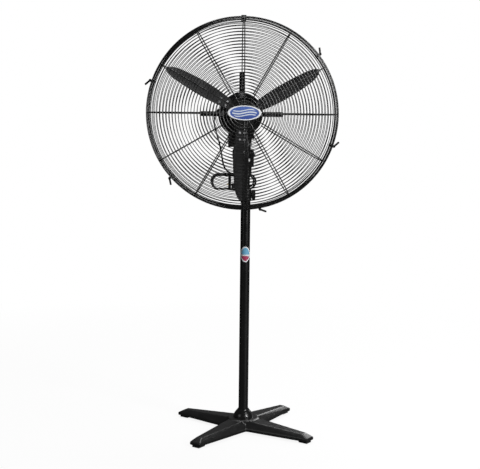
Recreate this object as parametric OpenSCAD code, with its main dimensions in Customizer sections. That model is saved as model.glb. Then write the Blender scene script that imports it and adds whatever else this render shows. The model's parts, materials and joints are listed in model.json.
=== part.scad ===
// Oscillating pedestal fan on a cast cross foot.
// Z points up, the floor is z = 0 and the pole stands on the origin.
// The fan blows towards -Y. All sizes are in millimetres.

/* [Foot] */
// Distance from the pole to the end of each foot arm
foot_reach = 312; // [260:1:380]
// Angle the cross is turned from the fan's own direction
foot_turn = 6; // [0:1:45]
// Width of an arm at its end
foot_end_w = 48; // [36:1:60]
// Height of the casting where the arms meet
foot_h = 50; // [40:1:60]

/* [Pole] */
// Outside diameter of the fixed pole
pole_d = 38; // [34:0.5:42]
// Wall of the fixed pole
pole_wall = 1.8; // [1.2:0.1:2]
// Height of the top of the fixed pole
pole_top = 948; // [800:1:1100]
// Outside diameter of the sliding mast
mast_d = 32; // [28:0.5:32]
// Height of the clamped tilt pivot
tilt_z = 1092; // [1070:1:1300]

/* [Head] */
// Height of the fan's axis above the tilt pivot
axis_rise = 153; // [140:1:170]
// Sideways distance from the mast to the fan's axis
axis_side = 26; // [0:1:30]
// Outside diameter of the motor
motor_d = 164; // [150:1:170]

/* [Guard] */
// Outside radius of the guard
guard_r = 360; // [345:1:380]
// Pitch of the ring wires
ring_pitch = 11.6; // [9:0.1:16]
// Diameter of the ring wires
ring_wire = 2.8; // [2:0.1:3.2]
// Diameter of the rib wires
rib_wire = 4; // [3:0.1:5]
// Number of ribs on each half
rib_count = 12; // [8:1:16]
// Distance from the mast forward to the seam of the guard
guard_fwd = 165; // [160:1:172]

/* [Blades] */
// Diameter swept by the blades
sweep_d = 660; // [560:2:670]
// Widest part of a blade
blade_w = 66; // [50:1:80]
// Angle of the blades to the plane of rotation
blade_pitch = 30; // [15:1:35]
// Thickness of the blade sheet
blade_t = 2.4; // [1.6:0.1:3]

/* [Fits] */
// Radial clearance of a part that turns or slides
run_gap = 0.05; // [0.03:0.01:0.1]
// Space between parts that move past each other
free_gap = 0.4; // [0.3:0.1:1]

/* [Hidden] */

pole_r = pole_d / 2;
pole_in = pole_r - pole_wall;
mast_r = mast_d / 2;
mast_wall = 1.8;
mast_low = pole_top - 390;
mast_high = tilt_z - 47;
arm_angles = [for (i = [0:3]) 45 + foot_turn + 90 * i];
pad_h = 8;

axis_z = tilt_z + axis_rise;
motor_r = motor_d / 2;
shell_wall = 4;
shell_front = -88;
stator_front = -44;
stator_back = -6;
shell_back = 30;
gear_back = 96;
shaft_r = 8;
core_r = 38;

knob_z = pole_top - 15;
stud_r = 4;
bolt_r = 5;
swivel_r = 8;
ear_in = 17;
ear_out = 29;
tongue_half = ear_in - free_gap;
flange_z = tilt_z + 33;
flange_t = 6;

// The crank pin runs in a slot in the neck's arm and swings the head.
crank_y = 46;
crank_throw = 32;
crank_z = flange_z + 16;
crank_shaft_r = 5;
pin_r = 4;
slot_half = pin_r + 1.5;

strap_t = 3;
strap_w = 19;
strap_reach = 158;
screw_ring = 73;

// One half of the guard is a shallow dish with a tighter turn at its edge.
front_rim_r = guard_r - 4;
rear_rim_r = guard_r - 11.5;
front_rim_y = -guard_fwd - 3;
rear_rim_y = -guard_fwd + 3;
front_bend = 60;
front_lean = 10;
rear_bend = 56;
rear_lean = 4;
rim_wire = 8;
rear_rim_wire = 7;
front_wall_r = front_rim_r;
rear_wall_r = rear_rim_r - 2.5;
support_every = 7;
// Rings are welded to the outside of the ribs, half a millimetre deep.
weld = 0.5;
ring_out = (rib_wire + ring_wire) / 2 - weld;

latch_angles = [38, 161, 222, 281, 341];
latch_r = guard_r + 4.5;

hub_y = -155;
blade_angles = [30, 150, 270];
blade_root = 58;
blade_tip = sweep_d / 2;

cord_d = 6.5;
// The cord leaves the gland at the motor's side and hangs to the hank behind the mast.
cord_points = [[-122, 18, 1238], [-125, 20, 1222], [-124, 23, 1205], [-120, 28, 1188],
    [-115, 33, 1172], [-110, 38, 1156], [-105, 43, 1140], [-101, 48, 1124], [-97, 53, 1108],
    [-94, 58, 1092], [-91, 63, 1076], [-88, 68, 1060], [-85, 73, 1044], [-81, 78, 1029],
    [-76, 82, 1014]];
hank_low = [-136, 72, 948];
hank_size = [184, 24, 67];

$fn = 64;

// ---- helpers ----

// A cylinder along X, Y or Z, from one place to another.
module rod_x(x0, x1, r) translate([x0, 0, 0]) rotate([0, 90, 0]) cylinder(h = x1 - x0, r = r);
module rod_y(y0, y1, r) translate([0, y0, 0]) rotate([-90, 0, 0]) cylinder(h = y1 - y0, r = r);
module rod_z(z0, z1, r) translate([0, 0, z0]) cylinder(h = z1 - z0, r = r);

module tube_z(z0, z1, r_out, r_in) difference() {
    rod_z(z0, z1, r_out);
    rod_z(z0 - 1, z1 + 1, r_in);
}

module tube_y(y0, y1, r_out, r_in) difference() {
    rod_y(y0, y1, r_out);
    rod_y(y0 - 1, y1 + 1, r_in);
}

// Puts its children on the fan's axis, which runs along Y.
module on_axis() translate([-axis_side, 0, axis_z]) children();

// Turns a profile drawn as [radius, distance back] about the fan's axis.
module turned_y(points) rotate([-90, 0, 0]) rotate_extrude() polygon(points);

// Copies its children round the fan's axis, seen from the front, at the given angles.
module around_axis(angles) for (a = angles) on_axis() rotate([0, -a, 0]) children();

// A knob with shallow finger lobes, standing on z = 0.
module lobed_knob(r, h, lobes) difference() {
    cylinder(r = r, h = h);
    for (i = [0:lobes - 1]) rotate([0, 0, 360 / lobes * (i + 0.5)])
        translate([r + 3, 0, -1]) cylinder(r = 5.5, h = h + 2);
}

// ---- foot and pole ----

// A tapered cast arm with bevelled top edges and a sloping end.
module foot_arm() hull() {
    translate([0, 0, pad_h]) linear_extrude(height = 12)
        polygon([[0, -56], [foot_reach, -foot_end_w / 2], [foot_reach, foot_end_w / 2], [0, 56]]);
    translate([0, -34, foot_h - 2]) cube([1, 68, 2]);
    translate([foot_reach - 27, -12, 32]) cube([1, 24, 2]);
}

// The hollow that a casting has on its underside.
module foot_hollow() translate([66, 0, 0]) linear_extrude(height = 23)
    polygon([[0, -34], [foot_reach - 126, -18], [foot_reach - 126, 18], [0, 34]]);

module base_cross() color([0.09, 0.09, 0.09]) difference() {
    union() {
        for (a = arm_angles) rotate([0, 0, a]) foot_arm();
        rod_z(pad_h, foot_h, 60);
        rod_z(foot_h - 5, foot_h + 14, 30);
    }
    for (a = arm_angles) rotate([0, 0, a]) foot_hollow();
    rod_z(pad_h + 6, foot_h + 30, pole_r);
    translate([0, 0, foot_h + 7]) rod_x(-40, 40, stud_r);
}

module foot_pads() color([0.05, 0.05, 0.05])
    for (a = arm_angles) rotate([0, 0, a]) translate([foot_reach - 24, 0, 0]) {
        translate([-19, -16, 0]) cube([38, 32, pad_h]);
    }

module dome_collar() color([0.07, 0.07, 0.07]) rotate_extrude()
    polygon([[39, foot_h], [38.2, foot_h + 8], [35, foot_h + 16], [30, foot_h + 23],
        [24.5, foot_h + 29], [22, foot_h + 33], [pole_r + 0.3, foot_h + 33],
        [pole_r + 0.3, foot_h + 25], [27, foot_h + 20], [31, foot_h + 15],
        [33.6, foot_h + 8], [34, foot_h]]);

module base_screws() color([0.6, 0.6, 0.6]) translate([0, 0, foot_h + 7]) {
    rod_x(pole_r, 30, stud_r);
    rod_x(-30, -pole_r, stud_r);
}

module pole_tube() color([0.08, 0.08, 0.08]) difference() {
    tube_z(pad_h + 6, pole_top, pole_r, pole_in);
    translate([0, 0, knob_z]) rod_x(0, pole_r + 5, stud_r + 0.6);
}

// A thin oval label that wraps round the front of the pole.
module pole_label() color([0.8, 0.85, 0.9]) intersection() {
    tube_z(pole_top - 290, pole_top - 210, pole_r + 0.35, pole_r);
    translate([0, 5, pole_top - 248]) rotate([90, 0, 0]) linear_extrude(height = 40)
        polygon([for (i = [0:47]) [18.6 * cos(i * 7.5), 31 * sin(i * 7.5)]]);
}

module lock_collar() color([0.06, 0.06, 0.06]) difference() {
    union() {
        rod_z(knob_z - 20, pole_top + 7, pole_r + 4);
        translate([0, 0, knob_z]) rod_x(0, pole_r + 5.6, 9);
    }
    rod_z(knob_z - 21, pole_top, pole_r);
    rod_z(pole_top - 1, pole_top + 8, mast_r + 0.3);
    translate([0, 0, knob_z]) rod_x(0, pole_r + 8, stud_r + run_gap);
}

module pole_bushing() color([0.75, 0.75, 0.72]) difference() {
    tube_z(pole_top - 70, pole_top, pole_in, mast_r + run_gap);
    translate([0, 0, knob_z]) rod_x(0, pole_r, stud_r + 0.6);
}

// The hand knob that clamps the mast at its height.
module lock_knob() color([0.06, 0.06, 0.06]) translate([0, 0, knob_z]) union() {
    rod_x(mast_r + 0.4, pole_r + 8, stud_r);
    translate([pole_r + 6, 0, 0]) rotate([0, 90, 0]) lobed_knob(20.5, 12, 6);
}

module mast_tube() color([0.1, 0.1, 0.1])
    tube_z(mast_low, mast_high, mast_r, mast_r - mast_wall);

// The casting on top of the mast, with two ears that hold the tilt bolt.
module mast_head() color([0.08, 0.08, 0.08]) difference() {
    union() {
        rod_z(tilt_z - 89, tilt_z - 46, 22);
        translate([-ear_out, -20, tilt_z - 50]) cube([2 * ear_out, 40, 20]);
        translate([-ear_out, -20, tilt_z - 50]) cube([ear_out - ear_in, 40, 50]);
        translate([ear_in, -20, tilt_z - 50]) cube([ear_out - ear_in, 40, 50]);
        translate([0, 0, tilt_z]) rod_x(-ear_out, -ear_in, 20);
        translate([0, 0, tilt_z]) rod_x(ear_in, ear_out, 20);
    }
    rod_z(tilt_z - 90, mast_high, mast_r);
    translate([0, 0, tilt_z]) rod_x(-40, 40, bolt_r);
}

module tilt_bolt() color([0.62, 0.62, 0.62]) translate([0, 0, tilt_z]) {
    rod_x(-46, ear_out + 0.1, bolt_r);
    translate([ear_out, 0, 0]) rotate([0, 90, 0]) cylinder(r = 9, h = 6.5, $fn = 6);
}

// The hand knob on the end of the tilt bolt.
module tilt_knob() color([0.06, 0.06, 0.06]) translate([0, 0, tilt_z]) difference() {
    union() {
        translate([-53, 0, 0]) rotate([0, 90, 0]) lobed_knob(17.5, 12, 5);
        rod_x(-42, -ear_out - free_gap, 10);
    }
    rod_x(-47, -20, bolt_r + run_gap);
}

// ---- neck and swing drive ----

// The tilting neck: a tongue between the ears, a flange and the slotted arm.
module neck_body() color([0.08, 0.08, 0.08]) difference() {
    union() {
        translate([0, 0, tilt_z]) rod_x(-tongue_half, tongue_half, 19);
        translate([-tongue_half, -19, tilt_z]) cube([2 * tongue_half, 38, 34]);
        rod_z(flange_z, flange_z + flange_t, 24);
        translate([-13, 0, flange_z]) cube([26, crank_y + 38, flange_t]);
        translate([0, crank_y + 38, 0]) rod_z(flange_z, flange_z + flange_t, 13);
    }
    translate([0, 0, tilt_z]) rod_x(-20, 20, bolt_r + run_gap);
    rod_z(flange_z - 15, flange_z + 20, swivel_r);
    translate([-slot_half, crank_y + 4, flange_z - 1])
        cube([2 * slot_half, crank_throw + 4, flange_t + 2]);
    translate([0, crank_y + 4, 0]) rod_z(flange_z - 1, flange_z + flange_t + 1, slot_half);
    translate([0, crank_y + crank_throw + 8, 0])
        rod_z(flange_z - 1, flange_z + flange_t + 1, slot_half);
}

module swivel_pin() color([0.65, 0.65, 0.66]) rod_z(flange_z - 15, flange_z + 38, swivel_r);

// The cast bracket that carries the motor and turns on the swivel pin.
module motor_bracket() color([0.08, 0.08, 0.08]) difference() {
    union() {
        rod_z(flange_z + flange_t + free_gap, axis_z - 70, 21);
        translate([-axis_side - 8, -60, axis_z - motor_r - 12]) cube([axis_side + 34, 86, 32]);
    }
    on_axis() rod_y(-60, 60, motor_r);
    rod_z(flange_z, axis_z - 60, swivel_r + run_gap);
}

// The crank under the gearbox, with its pin in the neck's slot.
module crank() color([0.6, 0.6, 0.62]) union() {
    translate([0, crank_y, 0]) rod_z(crank_z, crank_z + 34, crank_shaft_r);
    hull() {
        translate([0, crank_y, 0]) rod_z(crank_z, crank_z + 7, 9, $fn = 32);
        translate([0, crank_y + crank_throw, 0]) rod_z(crank_z, crank_z + 7, 8, $fn = 32);
    }
    translate([0, crank_y + crank_throw, 0]) rod_z(flange_z - 3, crank_z + 1, pin_r);
}

// ---- motor ----

module front_shell() color([0.1, 0.1, 0.1]) on_axis() difference() {
    turned_y([[shaft_r + 1, shell_front], [motor_r - 4.6, shell_front], [motor_r - 2, shell_front + 3],
        [motor_r, shell_front + 9], [motor_r, stator_front],
        [motor_r - shell_wall, stator_front], [motor_r - shell_wall, shell_front + 16],
        [67.5, shell_front + 6], [24, shell_front + 5], [24, shell_front + 20],
        [17.5, shell_front + 20], [17.5, shell_front + 8], [shaft_r + 1, shell_front + 8]]);
    for (a = [45:90:315]) rotate([0, a, 0]) translate([screw_ring - 2, 0, 0])
        rod_y(shell_front - 1, shell_front + 20, 2.6);
    for (a = [0:90:270]) rotate([0, a, 0]) translate([screw_ring, 0, 0])
        rod_y(shell_front - 1, shell_front + 12, 3);
}

module rear_shell() color([0.1, 0.1, 0.1]) on_axis() difference() {
    turned_y([[motor_r - shell_wall, stator_back], [motor_r, stator_back],
        [motor_r, shell_back - 14], [motor_r - 3, shell_back - 5], [72, shell_back],
        [shaft_r + 1, shell_back], [shaft_r + 1, shell_back - 8], [17.5, shell_back - 8],
        [17.5, shell_back - 20], [24, shell_back - 20], [24, shell_back - 5],
        [68, shell_back - 6], [motor_r - shell_wall, shell_back - 14]]);
    for (a = [45:90:315]) rotate([0, a, 0]) translate([screw_ring - 2, 0, 0])
        rod_y(shell_back - 20, shell_back + 1, 2.6);
}

module stator() color([0.45, 0.45, 0.46]) on_axis() difference() {
    tube_y(stator_front, stator_back, motor_r - 1, core_r + 1);
    for (a = [45:90:315]) rotate([0, a, 0]) translate([screw_ring - 2, 0, 0])
        rod_y(stator_front - 1, stator_back + 1, 2.6);
}

module windings() color([0.72, 0.4, 0.2]) on_axis() {
    tube_y(stator_front - 16, stator_front, 66, 46);
    tube_y(stator_back, stator_back + 14, 66, 46);
}

module motor_bolts() color([0.7, 0.7, 0.7]) around_axis([45:90:315])
    translate([screw_ring - 2, 0, 0]) {
        rod_y(shell_front, shell_back, 2.5);
        rod_y(shell_back, shell_back + 3.5, 4.5);
    }

module bearings() color([0.8, 0.8, 0.82]) on_axis() {
    tube_y(shell_front + 8, shell_front + 19, 17.5, shaft_r + run_gap);
    tube_y(shell_back - 19, shell_back - 8, 17.5, shaft_r + run_gap);
}

// The reduction gearbox on the back of the motor.
module gearbox() color([0.1, 0.1, 0.1]) difference() {
    union() {
        on_axis() rod_y(shell_back, gear_back - 8, 46);
        on_axis() rod_y(gear_back - 9, gear_back, 40);
        translate([0, crank_y + 2, 0]) rod_z(crank_z + 10, axis_z - 10, 16);
        on_axis() translate([0, 60, 40]) rod_z(0, 14, 11, $fn = 48);
    }
    on_axis() rod_y(shell_back - 1, shell_back + 16, 12);
    on_axis() rod_y(-60, shell_back, motor_r);
    translate([0, crank_y, 0]) rod_z(crank_z + 5, crank_z + 34.5, crank_shaft_r + run_gap);
    on_axis() translate([0, 60, 0]) rod_z(30, 80, 4 + run_gap);
}

module capacitor() color([0.85, 0.85, 0.83]) on_axis() difference() {
    translate([axis_side + 17, 46, -32]) cube([28, 40, 28]);
    rod_y(0, 100, 46);
}

// The switch box under the motor.
module control_box() color([0.08, 0.08, 0.08]) difference() {
    translate([-70, -30, flange_z - 6]) cube([34, 58, 56]);
    translate([-67, -27, flange_z - 3]) cube([28, 52, 40]);
    on_axis() rod_y(-60, 60, motor_r);
    translate([-53, 0, flange_z + 12]) rod_y(20, 40, 4);
}

module switch_body() color([0.7, 0.7, 0.66]) translate([-53, 0, flange_z + 12]) {
    translate([-12, 0, -12]) cube([24, 25, 24]);
    rod_y(24, 36, 3);
}

// The rotary speed knob at the back of the switch box.
module speed_knob() color([0.05, 0.05, 0.05]) translate([-53, 0, flange_z + 12]) difference() {
    union() {
        rod_y(28 + free_gap, 34, 13);
        rod_y(33, 44, 8);
        translate([-2, 33, -11.5]) cube([4, 12, 23]);
    }
    rod_y(20, 37, 3 + run_gap);
}

// The push and pull knob that engages the swing.
module swing_knob() color([0.05, 0.05, 0.05]) translate([-axis_side, 60, axis_z]) {
    rod_z(36, 66, 4);
    rod_z(64, 76, 9);
}

// The cable entry on the motor's side and its tapered strain relief.
module cord_gland() color([0.05, 0.05, 0.05]) difference() {
    union() {
        translate([-axis_side, 18, axis_z + 14]) rod_x(-motor_r - 5, -motor_r + 4, 9);
        hull() {
            translate([-axis_side - motor_r - 3, 18, axis_z + 13]) sphere(r = 8, $fn = 24);
            translate([-axis_side - motor_r - 9, 18, axis_z + 6]) sphere(r = 6.4, $fn = 24);
        }
        hull() {
            translate([-axis_side - motor_r - 9, 18, axis_z + 6]) sphere(r = 6.4, $fn = 24);
            translate([-122, 18, axis_z - 7]) cylinder(r = 4.6, h = 1, $fn = 24);
        }
    }
    on_axis() rod_y(-60, 60, motor_r);
}

// ---- guard ----

// Where a guard half turns from its edge bend into its dish.
function turn_r(rim, bend, lean) = rim - bend + bend * sin(lean);
function dish_r(rim, bend, lean) = turn_r(rim, bend, lean) / sin(lean);
function bend_len(bend, lean) = bend * (90 - lean) * PI / 180;

// Radius and height of the point a given way along a guard half from its rim.
function half_r(s, rim, bend, lean) = s < bend_len(bend, lean)
    ? rim - bend + bend * cos(s / bend * 180 / PI)
    : dish_r(rim, bend, lean) * sin(lean
        - (s - bend_len(bend, lean)) / dish_r(rim, bend, lean) * 180 / PI);
function half_h(s, rim, bend, lean) = s < bend_len(bend, lean)
    ? bend * sin(s / bend * 180 / PI)
    : bend * cos(lean) + dish_r(rim, bend, lean) * (cos(lean
        - (s - bend_len(bend, lean)) / dish_r(rim, bend, lean) * 180 / PI) - cos(lean));

// Angle from the plane of the rim to the outward direction at the same point.
function half_out(s, rim, bend, lean) = s < bend_len(bend, lean) ? s / bend * 180 / PI
    : 90 - lean + (s - bend_len(bend, lean)) / dish_r(rim, bend, lean) * 180 / PI;

// Height of the middle of a half.
function half_top(rim, bend, lean) = bend * cos(lean)
    + dish_r(rim, bend, lean) * (1 - cos(lean));

// How many rings fit between the rim and the given inner radius.
function ring_count(inner, rim, bend, lean) = floor((bend_len(bend, lean)
    + dish_r(rim, bend, lean) * lean * PI / 180 - inner) / ring_pitch);

module hoop(r, h, wire, sides = 16) translate([0, 0, h]) rotate_extrude($fn = 96)
    translate([r, 0]) circle(d = wire, $fn = sides);

// The rings of one half that are numbered in list, lying on the outside of the ribs.
module half_rings(list, rim, bend, lean, sides = 16) for (i = list) {
    s = i * ring_pitch;
    out = half_out(s, rim, bend, lean);
    hoop(half_r(s, rim, bend, lean) + ring_out * cos(out),
        half_h(s, rim, bend, lean) + ring_out * sin(out), ring_wire, sides);
}

// One rib, from the rim to the radius where it stops. Its edge bend runs one degree into
// the dish, where the wire is a hair thicker.
swell = 0.3;
module half_rib(inner, rim, bend, lean) {
    big = dish_r(rim, bend, lean);
    stop = asin(inner / big);
    rotate([90, 0, 0]) translate([rim - bend, 0, 0])
        rotate_extrude(angle = 91 - lean, $fn = 96)
        translate([bend, 0]) circle(d = rib_wire, $fn = 16);
    rotate([90, 0, 0]) translate([0, bend * cos(lean) - big * cos(lean), 0])
        rotate([0, 0, 90 - lean]) rotate_extrude(angle = lean - stop, $fn = 720)
        translate([big, 0]) circle(d = rib_wire + swell, $fn = 16);
}

module half_ribs(inner, rim, bend, lean) for (i = [0:rib_count - 1])
    rotate([0, 0, 360 / rib_count * i]) half_rib(inner, rim, bend, lean);

front_count = ring_count(30, front_wall_r, front_bend, front_lean);
rear_count = ring_count(88, rear_wall_r, rear_bend, rear_lean);
front_support = [for (i = [1:front_count]) if (i % support_every == 0) i];
rear_support = [for (i = [1:rear_count]) if (i % support_every == 0 || i == rear_count) i];
front_rest = [for (i = [1:front_count]) if (i % support_every != 0) i];
rear_rest = [for (i = [1:rear_count - 1]) if (i % support_every != 0) i];
front_top = half_top(front_wall_r, front_bend, front_lean);
rear_top = half_top(rear_wall_r, rear_bend, rear_lean);
ring_top = ring_out + ring_wire / 2;
strap_y = rear_rim_y + rear_top + ring_top - 0.4;

// Turns a guard half drawn with its dish along +Z to face forward or back.
module facing_front(y) on_axis() translate([0, y, 0]) rotate([90, 0, 0]) children();
module facing_back(y) on_axis() translate([0, y, 0]) rotate([-90, 0, 0]) children();

// Front half: the rim, the ribs, their support rings and the plate in the middle.
module front_ribs() color([0.05, 0.05, 0.05]) facing_front(front_rim_y) {
    half_ribs(20, front_wall_r, front_bend, front_lean);
    half_rings(front_support, front_wall_r, front_bend, front_lean);
    hoop(front_rim_r, 0, rim_wire);
    translate([0, 0, front_top - 2.5]) cylinder(r = 28, h = ring_top + 2.5);
}

// The lugs on the front rim, with the pins that the latches turn on.
module latch_pins() color([0.05, 0.05, 0.05]) {
    around_axis(latch_angles) {
        translate([front_rim_r + 1, front_rim_y - 3.4, -3])
            cube([latch_r - front_rim_r + 1.6, 2, 6]);
        translate([latch_r, 0, 0]) rod_y(front_rim_y - 2.8, front_rim_y + 13, 2);
    }
}

module front_rings() color([0.05, 0.05, 0.05]) facing_front(front_rim_y)
    half_rings(front_rest, front_wall_r, front_bend, front_lean, 8);

module rear_ribs() color([0.05, 0.05, 0.05]) facing_back(rear_rim_y) {
    half_ribs(86, rear_wall_r, rear_bend, rear_lean);
    half_rings(rear_support, rear_wall_r, rear_bend, rear_lean);
    hoop(rear_rim_r, 0, rear_rim_wire);
}

module rear_rings() color([0.05, 0.05, 0.05]) facing_back(rear_rim_y)
    half_rings(rear_rest, rear_wall_r, rear_bend, rear_lean, 8);

// The cross of flat straps that bolts the rear half to the motor.
module guard_straps() color([0.09, 0.09, 0.09]) on_axis() difference() {
    union() {
        tube_y(strap_y, strap_y + strap_t, 82, 60);
        for (a = [0:90:270]) rotate([0, a, 0])
            translate([62, strap_y, -strap_w / 2]) cube([strap_reach - 62, strap_t, strap_w]);
        tube_y(strap_y + strap_t, shell_front, 67, 60);
    }
    for (a = [0:90:270]) rotate([0, a, 0]) translate([screw_ring, 0, 0])
        rod_y(strap_y - 1, strap_y + strap_t + 1, 3);
}

module strap_screws() color([0.78, 0.78, 0.78]) around_axis([0:90:270])
    translate([screw_ring, 0, 0]) {
        rod_y(strap_y - 1.2, strap_y, 9);
        rod_y(strap_y - 4.2, strap_y - 1, 5.5);
        rod_y(strap_y - 1, shell_front + 9, 3);
    }

// The fixed hook at the top, hung over both rims on either side of the ribs.
module guard_hook() color([0.05, 0.05, 0.05]) on_axis() translate([-9, 0, 0]) difference() {
    translate([0, front_rim_y - 7, rear_rim_r - 6]) cube([18, 20, guard_r - rear_rim_r + 9]);
    translate([-1, front_rim_y - 5, rear_rim_r - 8]) cube([20, 16, guard_r - rear_rim_r + 8.2]);
    translate([-1, front_rim_y - 8, rear_rim_r - 8]) cube([20, 4, 8]);
    translate([6, front_rim_y - 9, rear_rim_r - 8]) cube([6, 24, guard_r - rear_rim_r + 7]);
}

module badge_plate() color([0.2, 0.3, 0.6]) on_axis()
    translate([0, front_rim_y - front_top - ring_top, 0]) rotate([90, 0, 0])
    linear_extrude(height = 2.5)
    polygon([for (i = [0:59]) [62 * cos(i * 6), 27 * sin(i * 6)]]);

// One latch: a barrel on its pin, a hook behind the rear rim and a finger tail.
module latch(a) color([0.06, 0.06, 0.06]) on_axis() rotate([0, -a, 0])
    translate([latch_r, 0, 0]) difference() {
        union() {
            rod_y(front_rim_y - 1, front_rim_y + 12.4, 4.1);
            translate([-19, front_rim_y + 10.4, -4]) cube([19, 2, 8]);
            rotate([0, -60, 0]) translate([0, front_rim_y - 1, -2.5]) cube([24, 4, 5]);
        }
        rod_y(front_rim_y - 3, front_rim_y + 14, 2 + run_gap);
    }

module latch_1() latch(latch_angles[0]);
module latch_2() latch(latch_angles[1]);
module latch_3() latch(latch_angles[2]);
module latch_4() latch(latch_angles[3]);
module latch_5() latch(latch_angles[4]);

// ---- rotor and blades ----

module rotor_shaft() color([0.7, 0.7, 0.72]) on_axis() rod_y(hub_y - 30, shell_back + 10, shaft_r);

module rotor_core() color([0.55, 0.55, 0.56]) on_axis()
    tube_y(stator_front + 1, stator_back - 1, core_r, shaft_r);

// The hub and its three arms.
module blade_hub() color([0.12, 0.12, 0.12]) on_axis() difference() {
    union() {
        rod_y(hub_y - 14, hub_y + 24, 24);
        rod_y(hub_y - 3, hub_y + 3, 44);
        for (a = blade_angles) rotate([0, -a, 0]) translate([0, hub_y, 0])
            rotate([blade_pitch, 0, 0]) translate([20, blade_t / 2, -17]) cube([90, 4, 34]);
    }
    rod_y(hub_y - 40, hub_y + 40, shaft_r);
}

// Chord, pitch and bow of a blade at a given way along it, from 0 to 1.
function chord(t) = blade_w * (0.64 + 0.36 * sin(180 * pow(t, 0.85)))
    * (t > 0.82 ? sqrt(max(0.02, 1 - pow((t - 0.82) / 0.185, 2))) : 1);
function blade_bow(t) = 0.07 * chord(t) * min(1, max(0, (t - 0.2) * 4));

// A point on the blade's front or back face; u runs from 0 to 1 across it.
function blade_point(t, u, side) = let (
        c = chord(t),
        lead = c * 0.42 + 3 * (t - 0.5),
        v = lead - c * u,
        w = -4 * blade_bow(t) * u * (1 - u) + side * blade_t / 2,
        r = blade_root + (blade_tip - blade_root) * t)
    [r, v, w];

blade_rows = 16;
blade_cols = 6;

module blade_shape() {
    n = blade_cols + 1;
    front = [for (i = [0:blade_rows], j = [0:blade_cols])
        blade_point(i / blade_rows, j / blade_cols, 1)];
    back = [for (i = [0:blade_rows], j = [0:blade_cols])
        blade_point(i / blade_rows, j / blade_cols, -1)];
    m = len(front);
    polyhedron(points = concat(front, back), faces = concat(
        [for (i = [0:blade_rows - 1], j = [0:blade_cols - 1])
            [i * n + j, i * n + j + 1, (i + 1) * n + j + 1, (i + 1) * n + j]],
        [for (i = [0:blade_rows - 1], j = [0:blade_cols - 1])
            [m + (i + 1) * n + j, m + (i + 1) * n + j + 1, m + i * n + j + 1, m + i * n + j]],
        [for (j = [0:blade_cols - 1]) [j + 1, j, m + j, m + j + 1]],
        [for (j = [0:blade_cols - 1]) let (k = blade_rows * n)
            [k + j, k + j + 1, m + k + j + 1, m + k + j]],
        [for (i = [0:blade_rows - 1]) [i * n, (i + 1) * n, m + (i + 1) * n, m + i * n]],
        [for (i = [0:blade_rows - 1]) let (k = blade_cols)
            [(i + 1) * n + k, i * n + k, m + i * n + k, m + (i + 1) * n + k]]));
}

module blades() color([0.2, 0.2, 0.2]) on_axis() for (a = blade_angles)
    rotate([0, -a, 0]) translate([0, hub_y, 0]) rotate([blade_pitch, 0, 0])
    rotate([90, 0, 0]) blade_shape();

module blade_rivets() color([0.6, 0.6, 0.6]) on_axis() for (a = blade_angles)
    rotate([0, -a, 0]) translate([0, hub_y, 0]) rotate([blade_pitch, 0, 0])
    for (p = [[72, 9], [72, -9], [98, 9], [98, -9]]) translate([p[0], 0, p[1]]) {
        rod_y(-blade_t / 2 - 2, -blade_t / 2, 4.5);
        rod_y(-blade_t / 2 - 1, blade_t / 2 + 5, 2.5);
    }

module hub_nut() color([0.7, 0.7, 0.7]) on_axis() difference() {
    translate([0, hub_y - 24, 0]) rotate([-90, 0, 0]) cylinder(r = 15, h = 10, $fn = 6);
    rod_y(hub_y - 40, hub_y, shaft_r);
}

// ---- cord ----

// Direction of the route at a point.
function way(p, i) = let (d = p[min(i + 1, len(p) - 1)] - p[max(i - 1, 0)]) d / norm(d);
function side_of(d) = let (s = cross(d, [0, 1, 0])) s / norm(s);

module sweep(p, r, n) {
    rings = [for (i = [0:len(p) - 1]) let (d = way(p, i), s = side_of(d), t = cross(d, s))
        for (k = [0:n - 1]) p[i] + r * (cos(360 / n * k) * s + sin(360 / n * k) * t)];
    last = (len(p) - 1) * n;
    polyhedron(points = rings, faces = concat(
        [[for (k = [0:n - 1]) k]],
        [[for (k = [n - 1:-1:0]) last + k]],
        [for (i = [0:len(p) - 2], k = [0:n - 1]) let (q = (k + 1) % n)
            [i * n + k, (i + 1) * n + k, (i + 1) * n + q, i * n + q]]));
}

module cord_run() color([0.04, 0.04, 0.04]) sweep(cord_points, cord_d / 2, 10);

module cord_hank() color([0.04, 0.04, 0.04])
    translate([hank_low[0], hank_low[1] + hank_size[1], hank_low[2]]) rotate([90, 0, 0])
    linear_extrude(height = hank_size[1]) hull() {
        translate([hank_size[2] / 2, hank_size[2] / 2]) circle(d = hank_size[2]);
        translate([hank_size[0] - hank_size[2] / 2, hank_size[2] / 2]) circle(d = hank_size[2]);
    }

// The tie round the middle of the hank.
module cord_tie() color([0.03, 0.03, 0.03]) difference() {
    translate([-64, hank_low[1] - 1.2, hank_low[2] - 1.2])
        cube([10, hank_size[1] + 2.4, hank_size[2] + 2.4]);
    translate([-65, hank_low[1], hank_low[2]]) cube([12, hank_size[1], hank_size[2]]);
}

plug_y = hank_low[1] + hank_size[1];
plug_x = -49.5;
plug_z = hank_low[2] + 10;

module plug_body() color([0.04, 0.04, 0.04]) union() {
    translate([plug_x, plug_y, plug_z - 15]) cube([44, 24, 30]);
    translate([plug_x + 44, plug_y + 12, plug_z]) rod_x(0, 20, 6.5);
}

module plug_pins() color([0.75, 0.72, 0.6]) translate([plug_x, plug_y + 12, plug_z])
    for (z = [-9.5, 9.5]) translate([0, 0, z]) rod_x(-19, 0, 2.4);

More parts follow.
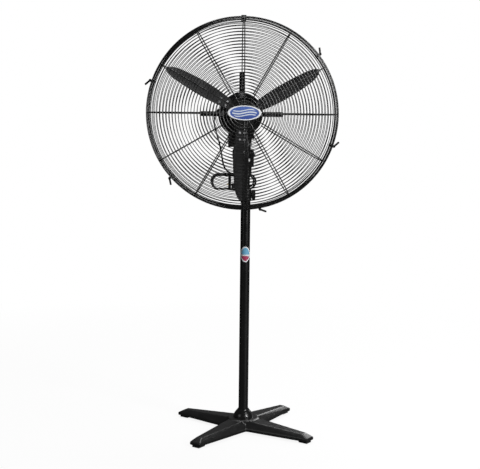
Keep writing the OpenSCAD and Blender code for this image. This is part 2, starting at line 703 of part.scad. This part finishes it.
base_cross();
foot_pads();
dome_collar();
base_screws();
pole_tube();
pole_label();
lock_collar();
pole_bushing();
lock_knob();
mast_tube();
mast_head();
tilt_bolt();
tilt_knob();
neck_body();
swivel_pin();
motor_bracket();
front_shell();
stator();
windings();
rear_shell();
gearbox();
motor_bolts();
bearings();
capacitor();
control_box();
switch_body();
cord_gland();
guard_straps();
strap_screws();
rear_ribs();
rear_rings();
front_ribs();
latch_pins();
front_rings();
guard_hook();
badge_plate();
cord_run();
cord_hank();
cord_tie();
plug_body();
plug_pins();
latch_1();
latch_2();
latch_3();
latch_4();
latch_5();
speed_knob();
swing_knob();
crank();
rotor_shaft();
rotor_core();
blade_hub();
blades();
blade_rivets();
hub_nut();
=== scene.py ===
"""Looks of an oscillating pedestal fan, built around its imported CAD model. Metres throughout."""

import json
import math

import bmesh
import bpy
from mathutils import Matrix, Vector


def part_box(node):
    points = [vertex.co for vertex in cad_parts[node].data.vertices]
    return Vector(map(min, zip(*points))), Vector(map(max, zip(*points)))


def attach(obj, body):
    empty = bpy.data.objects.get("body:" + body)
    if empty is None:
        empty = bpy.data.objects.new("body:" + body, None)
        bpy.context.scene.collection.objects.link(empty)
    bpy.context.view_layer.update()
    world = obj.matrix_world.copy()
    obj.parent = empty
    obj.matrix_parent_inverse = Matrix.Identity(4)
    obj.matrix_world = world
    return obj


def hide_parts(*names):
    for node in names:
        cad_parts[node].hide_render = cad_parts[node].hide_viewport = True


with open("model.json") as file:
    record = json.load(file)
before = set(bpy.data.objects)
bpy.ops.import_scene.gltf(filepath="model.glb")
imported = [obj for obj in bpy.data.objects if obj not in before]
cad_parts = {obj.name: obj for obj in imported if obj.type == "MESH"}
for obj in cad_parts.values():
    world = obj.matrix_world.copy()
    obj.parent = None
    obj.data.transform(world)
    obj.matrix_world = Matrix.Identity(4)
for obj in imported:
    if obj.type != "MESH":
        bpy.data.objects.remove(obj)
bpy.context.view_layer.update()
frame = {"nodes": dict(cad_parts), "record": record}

MM = 0.001
AXIS = Vector((-0.026, 0.0, 1.245))  # a point on the fan's axis, which runs along Y

# ---------------------------------------------------------------- camera

IMAGE_WIDTH = 480
SENSOR_MM = 36
FOCAL_PX = 989.1
CAM_TURN = math.radians(3.68)
CAM_PITCH = math.radians(3.79)
CAM_ROLL = 0.0112
CAM_BACK = 3.8702
CAM_SIDE = -0.0218
CAM_HEIGHT = 1.146
CAM_SHIFT_Y = -0.06


def make_camera():
    """Puts the camera in front of the fan, a little to its right, looking slightly down."""
    ahead = Vector((math.sin(CAM_TURN), math.cos(CAM_TURN), 0))
    right = Vector((math.cos(CAM_TURN), -math.sin(CAM_TURN), 0))
    place = -ahead * CAM_BACK + right * CAM_SIDE + Vector((0, 0, CAM_HEIGHT))
    look = ahead * math.cos(CAM_PITCH) + Vector((0, 0, -math.sin(CAM_PITCH)))
    up = ahead * math.sin(CAM_PITCH) + Vector((0, 0, math.cos(CAM_PITCH)))
    x = right * math.cos(CAM_ROLL) + up * math.sin(CAM_ROLL)
    y = up * math.cos(CAM_ROLL) - right * math.sin(CAM_ROLL)
    data = bpy.data.cameras.new("camera")
    data.sensor_width = SENSOR_MM
    data.lens = FOCAL_PX / IMAGE_WIDTH * SENSOR_MM
    data.shift_y = CAM_SHIFT_Y
    data.clip_end = 100
    camera = bpy.data.objects.new("camera", data)
    bpy.context.scene.collection.objects.link(camera)
    camera.matrix_world = Matrix((
        (x.x, y.x, -look.x, place.x),
        (x.y, y.y, -look.y, place.y),
        (x.z, y.z, -look.z, place.z),
        (0, 0, 0, 1),
    ))
    bpy.context.scene.camera = camera


make_camera()

# ---------------------------------------------------------------- materials


class Nodes:
    """Short calls for the nodes of one material."""

    def __init__(self, name):
        self.material = bpy.data.materials.new(name)
        self.material.use_nodes = True
        self.tree = self.material.node_tree
        self.shader = self.tree.nodes["Principled BSDF"]
        self.place = self.add("ShaderNodeTexCoord").outputs["Object"]

    def add(self, kind, **values):
        node = self.tree.nodes.new(kind)
        for key, value in values.items():
            setattr(node, key, value)
        return node

    def join(self, source, target):
        self.tree.links.new(source, target)

    def stretched(self, scale):
        node = self.add("ShaderNodeMapping")
        node.inputs["Scale"].default_value = scale
        self.join(self.place, node.inputs["Vector"])
        return node.outputs["Vector"]

    def noise(self, scale, detail=3.0, where=None, rough=0.55):
        node = self.add("ShaderNodeTexNoise")
        node.inputs["Scale"].default_value = scale
        node.inputs["Detail"].default_value = detail
        node.inputs["Roughness"].default_value = rough
        self.join(where or self.place, node.inputs["Vector"])
        return node.outputs["Fac"]

    def span(self, value, low, high, start=0.3, stop=0.7):
        node = self.add("ShaderNodeMapRange")
        node.inputs["From Min"].default_value = start
        node.inputs["From Max"].default_value = stop
        node.inputs["To Min"].default_value = low
        node.inputs["To Max"].default_value = high
        self.join(value, node.inputs["Value"])
        return node.outputs["Result"]

    def maths(self, kind, first, second=None):
        node = self.add("ShaderNodeMath", operation=kind)
        for socket, value in zip(node.inputs, (first, second)):
            if isinstance(value, (int, float)):
                socket.default_value = value
            elif value is not None:
                self.join(value, socket)
        return node.outputs["Value"]

    def mixed(self, share, first, second):
        node = self.add("ShaderNodeMix", data_type="RGBA")
        self.join(share, node.inputs["Factor"])
        for socket, value in ((node.inputs[6], first), (node.inputs[7], second)):
            if isinstance(value, tuple):
                socket.default_value = (*value, 1)
            else:
                self.join(value, socket)
        return node.outputs[2]

    def bump(self, height, strength, distance, under=None):
        node = self.add("ShaderNodeBump")
        node.inputs["Strength"].default_value = strength
        node.inputs["Distance"].default_value = distance
        self.join(height, node.inputs["Height"])
        if under is not None:
            self.join(under, node.inputs["Normal"])
        return node.outputs["Normal"]

    def finish(self, colour=None, roughness=None, normal=None, **constants):
        for socket, value in (("Base Color", colour), ("Roughness", roughness),
                              ("Normal", normal)):
            if value is not None:
                self.join(value, self.shader.inputs[socket])
        for socket, value in constants.items():
            self.shader.inputs[socket.replace("_", " ")].default_value = value
        return self.material


def grey(value):
    return (value, value, value * 1.03)


def paint(name, dark, light, rough, peel=0.10, dust=0.25, metallic=0.0):
    """Sprayed paint: faint clouds in tone, uneven gloss, orange peel and a little dust."""
    n = Nodes(name)
    clouds = n.noise(9.0, 4.0)
    tone = n.mixed(n.span(clouds, 0, 1), grey(dark), grey(light))
    specks = n.span(n.noise(420.0, 2.0), 0, dust, 0.68, 0.76)
    tone = n.mixed(specks, tone, grey(0.05))
    gloss = n.span(n.noise(38.0, 4.0), rough - 0.03, rough + 0.05)
    peeled = n.bump(n.noise(260.0, 2.0), peel, 0.00012)
    return n.finish(tone, gloss, peeled, Metallic=metallic)


def casting(name, dark, light, rough):
    """Painted casting: sand texture with soft pits under a satin coat."""
    n = Nodes(name)
    tone = n.mixed(n.span(n.noise(14.0, 5.0), 0, 1), grey(dark), grey(light))
    worn = n.span(n.noise(150.0, 4.0), 0, 0.2, 0.64, 0.74)
    tone = n.mixed(worn, tone, grey(0.04))
    gloss = n.span(n.noise(60.0, 4.0), rough - 0.04, rough + 0.07)
    sand = n.bump(n.noise(420.0, 4.0, rough=0.7), 0.2, 0.0004)
    pits = n.bump(n.noise(90.0, 3.0), 0.18, 0.0008, sand)
    return n.finish(tone, gloss, pits)


def moulded(name, base, rough, grain=900.0, depth=0.25):
    """Moulded plastic or rubber with a spark-eroded grain."""
    n = Nodes(name)
    light = tuple(min(1.0, c * 1.35 + 0.004) for c in base)
    tone = n.mixed(n.span(n.noise(30.0, 3.0), 0, 1), base, light)
    gloss = n.span(n.noise(120.0, 3.0), rough - 0.06, rough + 0.08)
    return n.finish(tone, gloss, n.bump(n.noise(grain, 2.0), depth, 0.0003))


def metal(name, base, rough, stretch=(60.0, 60.0, 900.0), stain=0.75):
    """Bare or plated metal, brushed one way and a little stained."""
    n = Nodes(name)
    dull = tuple(c * stain for c in base)
    tone = n.mixed(n.span(n.noise(70.0, 5.0), 0, 1), base, dull)
    brush = n.noise(1.0, 3.0, n.stretched(stretch))
    gloss = n.span(brush, rough - 0.06, rough + 0.12)
    return n.finish(tone, gloss, n.bump(brush, 0.12, 0.0002), Metallic=1.0)


def laminations(name):
    """Edges of stacked steel sheets, half a millimetre each."""
    n = Nodes(name)
    lines = n.add("ShaderNodeTexWave", bands_direction="Y")
    lines.inputs["Scale"].default_value = 310.0
    lines.inputs["Distortion"].default_value = 0.4
    n.join(n.place, lines.inputs["Vector"])
    tone = n.mixed(lines.outputs["Fac"], (0.16, 0.15, 0.15), (0.4, 0.4, 0.41))
    gloss = n.span(n.noise(90.0), 0.35, 0.55)
    return n.finish(tone, gloss, n.bump(lines.outputs["Fac"], 0.5, 0.0003), Metallic=0.9)


def wound_copper(name):
    """Varnished winding wire lying round the motor's axis."""
    n = Nodes(name)
    wires = n.add("ShaderNodeTexWave", wave_type="RINGS", rings_direction="Y")
    wires.inputs["Scale"].default_value = 160.0
    wires.inputs["Distortion"].default_value = 1.6
    n.join(n.place, wires.inputs["Vector"])
    tone = n.mixed(wires.outputs["Fac"], (0.2, 0.07, 0.02), (0.62, 0.27, 0.1))
    gloss = n.span(n.noise(90.0), 0.25, 0.4)
    return n.finish(tone, gloss, n.bump(wires.outputs["Fac"], 0.7, 0.0008), Metallic=0.8)


def oval_share(n, centre, half_x, half_z):
    """Share of the way out to the edge of an oval that faces the front."""
    parts = n.add("ShaderNodeSeparateXYZ")
    n.join(n.place, parts.inputs["Vector"])
    x = n.maths("DIVIDE", n.maths("SUBTRACT", parts.outputs["X"], centre[0]), half_x)
    z = n.maths("DIVIDE", n.maths("SUBTRACT", parts.outputs["Z"], centre[1]), half_z)
    out = n.maths("SQRT", n.maths("ADD", n.maths("POWER", x, 2.0), n.maths("POWER", z, 2.0)))
    return x, z, out


def label_film(name):
    """Printed oval: pale border, blue above, crimson below and a plain pale band."""
    n = Nodes(name)
    low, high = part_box("pole_label")
    middle = (low + high) / 2
    x, z, out = oval_share(n, (middle.x, middle.z), (high.x - low.x) / 2,
                           (high.z - low.z) / 2)
    upper = n.maths("GREATER_THAN", n.maths("ADD", z, n.maths("MULTIPLY", x, 0.22)), -0.12)
    field = n.mixed(upper, (0.42, 0.05, 0.12), (0.16, 0.42, 0.62))
    band = n.maths("LESS_THAN", n.maths("ABSOLUTE", n.maths("ADD", z, 0.12)), 0.09)
    field = n.mixed(band, field, (0.75, 0.78, 0.8))
    edge = n.maths("GREATER_THAN", out, 0.84)
    tone = n.mixed(edge, field, (0.8, 0.82, 0.84))
    gloss = n.span(n.noise(120.0), 0.25, 0.38)
    return n.finish(tone, gloss, n.bump(n.noise(500.0), 0.08, 0.0002))


BADGE_HALF = (0.062, 0.027)


def badge_film(name):
    """Printed oval for the guard: blue that fades down, with three plain pale waves."""
    n = Nodes(name)
    x, z, out = oval_share(n, (AXIS.x, AXIS.z), *BADGE_HALF)
    field = n.mixed(n.span(z, 0, 1, -0.9, 0.9), (0.05, 0.09, 0.34), (0.11, 0.19, 0.52))
    swell = n.maths("MULTIPLY", n.maths("SINE", n.maths("MULTIPLY", x, 4.2)), 0.13)
    for level, half in ((0.34, 0.07), (0.0, 0.09), (-0.34, 0.07)):
        away = n.maths("ABSOLUTE", n.maths("SUBTRACT", n.maths("SUBTRACT", z, swell), level))
        stripe = n.maths("MULTIPLY", n.maths("LESS_THAN", away, half),
                         n.maths("LESS_THAN", out, 0.72))
        field = n.mixed(stripe, field, (0.72, 0.78, 0.86))
    gloss = n.span(n.noise(150.0), 0.2, 0.32)
    return n.finish(field, gloss, n.bump(n.noise(600.0), 0.06, 0.0002))


MATERIALS = {
    "cast_black": casting("cast_black", 0.006, 0.011, 0.33),
    "pad_black": moulded("pad_black", (0.012, 0.012, 0.012), 0.7, 600.0, 0.4),
    "gloss_black": paint("gloss_black", 0.004, 0.007, 0.25, 0.06, 0.1),
    "label": label_film("label_film"),
    "knob_black": moulded("knob_black", (0.007, 0.007, 0.007), 0.42),
    "nylon": moulded("nylon", (0.55, 0.54, 0.48), 0.45),
    "zinc": metal("zinc", (0.62, 0.62, 0.63), 0.3),
    "motor_black": paint("motor_black", 0.008, 0.013, 0.36, 0.12, 0.15),
    "lamination": laminations("lamination"),
    "copper": wound_copper("copper"),
    "wire_black": paint("wire_black", 0.004, 0.007, 0.32, 0.08, 0.08),
    "badge": badge_film("badge_film"),
    "cord_black": moulded("cord_black", (0.012, 0.012, 0.012), 0.45, 700.0, 0.15),
    "plug_black": moulded("plug_black", (0.013, 0.013, 0.014), 0.5, 800.0, 0.3),
    "brass_pin": metal("brass_pin", (0.72, 0.56, 0.28), 0.25),
    "blade": paint("blade", 0.024, 0.032, 0.38, 0.08, 0.15, 0.25),
    "shaft_steel": metal("shaft_steel", (0.55, 0.55, 0.57), 0.25, (900.0, 60.0, 900.0)),
    "white_plastic": moulded("white_plastic", (0.62, 0.61, 0.57), 0.4),
}
SLOTS = {s["node"]: s["material_slot"] for s in frame["record"]["subparts"]}
BODIES = {n: b for b, names in frame["record"]["behaviour"]["bodies"].items() for n in names}

for node, shown in frame["nodes"].items():
    shown.data.materials.clear()
    shown.data.materials.append(MATERIALS[SLOTS[node]])


def keep_piece(piece, body, slot, *nodes):
    """Gives a new piece its slot's material if it has none, parents it to its body, and hides the
    CAD nodes it stands for.
    """
    if not piece.data.materials:
        piece.data.materials.append(MATERIALS[slot])
    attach(piece, body)
    if nodes:
        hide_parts(*nodes)
    return piece


def new_object(name, data):
    piece = bpy.data.objects.new(name, data)
    bpy.context.scene.collection.objects.link(piece)
    return piece


def smooth(mesh):
    mesh.polygons.foreach_set("use_smooth", [True] * len(mesh.polygons))


# ---------------------------------------------------------------- cord

CORD_D = 0.0065
CORD_RUN = [
    (-122, 18, 1238), (-125, 20, 1222), (-124, 23, 1205), (-120, 28, 1188), (-115, 33, 1172),
    (-110, 38, 1156), (-105, 43, 1140), (-101, 48, 1124), (-97, 53, 1108), (-94, 58, 1092),
    (-91, 63, 1076), (-88, 68, 1060),
]
HANK_LEFT, HANK_RIGHT, HANK_Z = -102.5, 14.5, 981.5
OUTER, INNER = 30.2, 23.4  # radii of the hank's folds
NEAR, MIDDLE, FAR = 75.3, 84.0, 92.7  # its three layers, from the mast backwards
PLUG_Y = 108.0  # the plug's axis, behind the hank


def eased(t, start=0.0, stop=1.0):
    t = min(1.0, max(0.0, (t - start) / (stop - start)))
    return t * t * (3 - 2 * t)


def fold(x, r0, r1, y0, y1, right, steps=16):
    """Half a turn, clockwise from the front. It narrows early and changes layer late."""
    points = []
    for i in range(1, steps + 1):
        t = i / steps
        r = r0 + (r1 - r0) * eased(t, 0, 0.55)
        a = (math.pi / 2 if right else -math.pi / 2) - math.pi * t
        y = y0 + (y1 - y0) * eased(t, 0.4, 1)
        points.append((x + r * math.cos(a), y, HANK_Z + r * math.sin(a)))
    return points


def straight(x0, x1, r, y, above, steps=8):
    """A straight run of the hank, along its top or its bottom."""
    side = 1 if above else -1
    return [(x0 + (x1 - x0) * i / steps, y, HANK_Z + side * r) for i in range(1, steps + 1)]


def bezier(p0, p1, p2, p3, steps):
    made = []
    for i in range(1, steps + 1):
        t = i / steps
        made.append(tuple((1 - t) ** 3 * a + 3 * (1 - t) ** 2 * t * b + 3 * (1 - t) * t * t * c
                          + t ** 3 * d for a, b, c, d in zip(p0, p1, p2, p3)))
    return made


def cord_route():
    """The whole cord in millimetres, from the gland to the plug's strain relief."""
    left, right = HANK_LEFT, HANK_RIGHT
    route = [tuple(map(float, p)) for p in CORD_RUN]
    joint = (-36.0, NEAR, HANK_Z + OUTER)
    route += bezier(route[-1], (-83, 76, 1033), (-68, NEAR, HANK_Z + OUTER), joint, 12)
    route += straight(joint[0], right, OUTER, NEAR, True)
    for here, there in ((NEAR, MIDDLE), (MIDDLE, FAR)):
        route += fold(right, OUTER, OUTER, here, here, True)
        route += straight(right, left, OUTER, here, False)
        route += fold(left, OUTER, OUTER, here, there, False)
        route += straight(left, right, OUTER, there, True)
    route += fold(right, OUTER, OUTER, FAR, FAR, True)
    route += straight(right, left, OUTER, FAR, False)
    route += fold(left, OUTER, INNER, FAR, FAR, False)
    route += straight(left, right, INNER, FAR, True)
    route += fold(right, INNER, INNER, FAR, PLUG_Y, True)
    return [Vector(p) * MM for p in route]


def make_curve(name, points, radius, resolution=4):
    data = bpy.data.curves.new(name, "CURVE")
    data.dimensions = "3D"
    data.bevel_depth = radius
    data.bevel_resolution = resolution
    data.use_fill_caps = True
    spline = data.splines.new("POLY")
    spline.points.add(len(points) - 1)
    for target, point in zip(spline.points, points):
        target.co = (*point, 1)
    spline.use_smooth = True
    return new_object(name, data)


def resampled(points, step):
    """A Catmull-Rom curve through the points, with points a step apart."""
    made = []
    last = len(points) - 1
    for i in range(last):
        p0, p1, p2, p3 = (points[max(i - 1, 0)], points[i], points[i + 1],
                          points[min(i + 2, last)])
        count = max(1, round((p2 - p1).length / step))
        for k in range(count):
            t = k / count
            made.append(0.5 * (2 * p1 + (p2 - p0) * t + (2 * p0 - 5 * p1 + 4 * p2 - p3) * t * t
                               + (3 * p1 - p0 - 3 * p2 + p3) * t ** 3))
    return made + [points[-1]]


CORD_LINE = resampled(cord_route(), 0.004)
cord = make_curve("mains_cord", CORD_LINE, CORD_D / 2)
keep_piece(cord, "head", "cord_black", "cord_run", "cord_hank")

# ---------------------------------------------------------------- castings and mouldings


def rounded(name, node, voxel, rounds, grow=0.0):
    """A copy of a CAD solid with softened edges, and its skin moved out by grow."""
    mesh = frame["nodes"][node].data.copy()
    mesh.name = name
    piece = new_object(name, mesh)
    remesh = piece.modifiers.new("remesh", "REMESH")
    remesh.mode = "VOXEL"
    remesh.voxel_size = voxel
    remesh.use_smooth_shade = True
    soften = piece.modifiers.new("soften", "SMOOTH")
    soften.factor = 0.5
    soften.iterations = rounds
    if grow:
        swell = piece.modifiers.new("swell", "DISPLACE")
        swell.strength = grow
        swell.mid_level = 0
    applied = bpy.data.meshes.new_from_object(
        piece.evaluated_get(bpy.context.evaluated_depsgraph_get()))
    piece.modifiers.clear()
    piece.data = applied
    smooth(applied)
    applied.materials.clear()
    return keep_piece(piece, BODIES[node], SLOTS[node], node)


# name, CAD node, voxel size, rounds of softening and, for the latches, growth
ROUNDED = [
    ("foot_casting", "base_cross", 0.0024, 6),
    ("rubber_feet", "foot_pads", 0.0012, 4),
    ("collar_casting", "lock_collar", 0.0008, 5),
    ("mast_head_casting", "mast_head", 0.0010, 5),
    ("neck_casting", "neck_body", 0.0010, 4),
    ("bracket_casting", "motor_bracket", 0.0011, 4),
    ("gearbox_casting", "gearbox", 0.0012, 5),
    ("hub_casting", "blade_hub", 0.0010, 3),
    ("height_knob", "lock_knob", 0.0006, 6),
    ("tilt_hand_knob", "tilt_knob", 0.0006, 6),
    ("switch_housing", "control_box", 0.0009, 4),
    ("speed_dial", "speed_knob", 0.0004, 5),
    ("swing_button", "swing_knob", 0.0004, 5),
    ("cable_gland", "cord_gland", 0.0004, 5),
    ("capacitor_can", "capacitor", 0.0006, 5),
    ("plug_moulding", "plug_body", 0.0006, 6),
]
ROUNDED += [(f"guard_latch_{i}", f"latch_{i}", 0.0005, 3, 0.0011) for i in range(1, 6)]
for row in ROUNDED:
    rounded(*row)

# ---------------------------------------------------------------- blades

SWEEP_R = 0.33
ROOT_R = 0.058
BLADE_W = 0.066
BLADE_T = 0.0024
BLADE_PITCH = math.radians(30)
HUB_Y = -0.155


def chord(t):
    tip = math.sqrt(max(0.02, 1 - ((t - 0.82) / 0.185) ** 2)) if t > 0.82 else 1.0
    return BLADE_W * (0.64 + 0.36 * math.sin(math.pi * t ** 0.85)) * tip


def blade_point(t, u, side):
    width = chord(t)
    bow = 0.07 * width * min(1.0, max(0.0, (t - 0.2) * 4))
    rim = min(u, 1 - u, 0.06) / 0.06
    half = side * BLADE_T / 2 * math.sqrt(max(0.04, 1 - (1 - rim) ** 2))
    return Vector((
        ROOT_R + (SWEEP_R - ROOT_R) * t,
        width * 0.42 + 0.003 * (t - 0.5) - width * u,
        -4 * bow * u * (1 - u) + half,
    ))


def make_blades(rows=44, columns=20):
    """Three bowed sheet blades with rounded edges, each riveted to an arm of the hub."""
    bm = bmesh.new()
    for angle in (30, 150, 270):
        turn = (Matrix.Translation(AXIS) @ Matrix.Rotation(math.radians(-angle), 4, "Y")
                @ Matrix.Translation((0, HUB_Y, 0)) @ Matrix.Rotation(BLADE_PITCH, 4, "X")
                @ Matrix.Rotation(math.pi / 2, 4, "X"))
        faces = []
        for side in (1, -1):
            faces.append([[bm.verts.new(turn @ blade_point(i / rows, j / columns, side))
                           for j in range(columns + 1)] for i in range(rows + 1)])
        front, back = faces
        for i in range(rows):
            for j in range(columns):
                bm.faces.new((front[i][j], front[i][j + 1], front[i + 1][j + 1], front[i + 1][j]))
                bm.faces.new((back[i + 1][j], back[i + 1][j + 1], back[i][j + 1], back[i][j]))
            for j, flip in ((0, 1), (columns, -1)):
                ring = (front[i][j], front[i + 1][j], back[i + 1][j], back[i][j])
                bm.faces.new(ring[::flip])
        for i, flip in ((0, -1), (rows, 1)):
            for j in range(columns):
                ring = (front[i][j], front[i][j + 1], back[i][j + 1], back[i][j])
                bm.faces.new(ring[::flip])
    bmesh.ops.recalc_face_normals(bm, faces=bm.faces)
    mesh = bpy.data.meshes.new("fan_blades")
    bm.to_mesh(mesh)
    bm.free()
    smooth(mesh)
    return keep_piece(new_object("fan_blades", mesh), "rotor", "blade", "blades")


make_blades()

# ---------------------------------------------------------------- badge


def make_badge():
    """A domed oval plate with a raised bright border."""
    low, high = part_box("badge_plate")
    half_x, half_z = (high.x - low.x) / 2, (high.z - low.z) / 2
    profile = [(0.0, 0.80), (0.45, 0.76), (0.78, 0.62), (0.86, 0.58), (0.89, 0.86), (0.91, 0.96),
               (0.94, 1.0), (0.97, 0.93), (0.995, 0.7), (1.0, 0.4), (0.998, 0.0), (0.0, 0.0)]
    depth = high.y - low.y
    bm = bmesh.new()
    steps = 96
    rings = []
    for share, height in profile:
        y = high.y - depth * height
        if share == 0:
            rings.append([bm.verts.new((AXIS.x, y, AXIS.z))])
            continue
        rings.append([bm.verts.new((AXIS.x + half_x * share * math.cos(2 * math.pi * k / steps), y,
                                    AXIS.z + half_z * share * math.sin(2 * math.pi * k / steps)))
                      for k in range(steps)])
    for number, (a, b) in enumerate(zip(rings, rings[1:])):
        for k in range(steps):
            q = (k + 1) % steps
            if len(a) == 1:
                face = bm.faces.new((a[0], b[k], b[q]))
            elif len(b) == 1:
                face = bm.faces.new((a[k], b[0], a[q]))
            else:
                face = bm.faces.new((a[k], b[k], b[q], a[q]))
            face.material_index = 0 if number < 3 else 1
    bmesh.ops.recalc_face_normals(bm, faces=bm.faces)
    mesh = bpy.data.meshes.new("oval_badge")
    bm.to_mesh(mesh)
    bm.free()
    smooth(mesh)
    mesh.materials.append(MATERIALS["badge"])
    mesh.materials.append(moulded("badge_border", (0.85, 0.88, 0.92), 0.25, 900.0, 0.1))
    return keep_piece(new_object("oval_badge", mesh), "head", "badge", "badge_plate")


make_badge()

# ---------------------------------------------------------------- floor and light


def make_floor():
    """A wide pale floor that fades into the background away from the fan."""
    n = Nodes("floor")
    output = n.tree.nodes["Material Output"]
    glow = n.add("ShaderNodeEmission")
    glow.inputs["Color"].default_value = (1, 1, 1, 1)
    glow.inputs["Strength"].default_value = BACKGROUND
    far = n.add("ShaderNodeVectorMath", operation="LENGTH")
    n.join(n.place, far.inputs[0])
    seen = n.add("ShaderNodeLightPath").outputs["Is Camera Ray"]
    share = n.maths("MULTIPLY", n.span(far.outputs["Value"], FLOOR_GLOW, 1.0, 0.5, 3.2), seen)
    blend = n.add("ShaderNodeMixShader")
    n.join(share, blend.inputs["Fac"])
    n.join(n.shader.outputs["BSDF"], blend.inputs[1])
    n.join(glow.outputs["Emission"], blend.inputs[2])
    n.join(blend.outputs["Shader"], output.inputs["Surface"])
    n.finish(n.mixed(seen, (FLOOR_BOUNCE,) * 3, (0.93,) * 3), Roughness=0.6)
    bm = bmesh.new()
    bmesh.ops.create_circle(bm, cap_ends=True, radius=FLOOR_RADIUS, segments=96)
    mesh = bpy.data.meshes.new("floor")
    bm.to_mesh(mesh)
    bm.free()
    floor = new_object("floor", mesh)
    mesh.materials.append(n.material)


def make_world(seen, lit):
    """White to the camera and softer as a light."""
    world = bpy.data.worlds.new("studio")
    world.use_nodes = True
    tree = world.node_tree
    shade = tree.nodes["Background"]
    path = tree.nodes.new("ShaderNodeLightPath")
    mix = tree.nodes.new("ShaderNodeMapRange")
    mix.inputs["To Min"].default_value = lit
    mix.inputs["To Max"].default_value = seen
    tree.links.new(path.outputs["Is Camera Ray"], mix.inputs["Value"])
    tree.links.new(mix.outputs["Result"], shade.inputs["Strength"])
    shade.inputs["Color"].default_value = (1, 1, 1, 1)
    bpy.context.scene.world = world


def softbox(name, place, aim, size, power):
    data = bpy.data.lights.new(name, "AREA")
    data.shape = "RECTANGLE"
    data.size, data.size_y = size
    data.energy = power
    light = bpy.data.objects.new(name, data)
    bpy.context.scene.collection.objects.link(light)
    light.location = place
    light.rotation_euler = (Vector(aim) - Vector(place)).to_track_quat("-Z", "Y").to_euler()


BACKGROUND = 1.0
FLOOR_GLOW = 0.9  # share of plain white in the floor at the fan's foot
FLOOR_RADIUS = 40
FLOOR_BOUNCE = 0.07  # the floor's brightness to everything but the camera
AMBIENT = 0.07
KEY_W, FILL_W, TOP_W, BACK_W = 130, 14, 60, 45
MID_HEIGHT = (0, 0, 0.9)
bpy.context.scene.view_settings.view_transform = "Standard"
make_floor()
make_world(BACKGROUND, AMBIENT)
softbox("key", (2.3, -2.6, 2.2), MID_HEIGHT, (0.8, 2.4), KEY_W)
softbox("fill", (-3.0, -2.4, 1.6), MID_HEIGHT, (1.6, 1.6), FILL_W)
softbox("top", (0.2, 0.9, 3.3), (0, 0, 0.3), (1.8, 1.8), TOP_W)
softbox("back", (1.9, 3.0, 2.0), MID_HEIGHT, (1.6, 1.8), BACK_W)
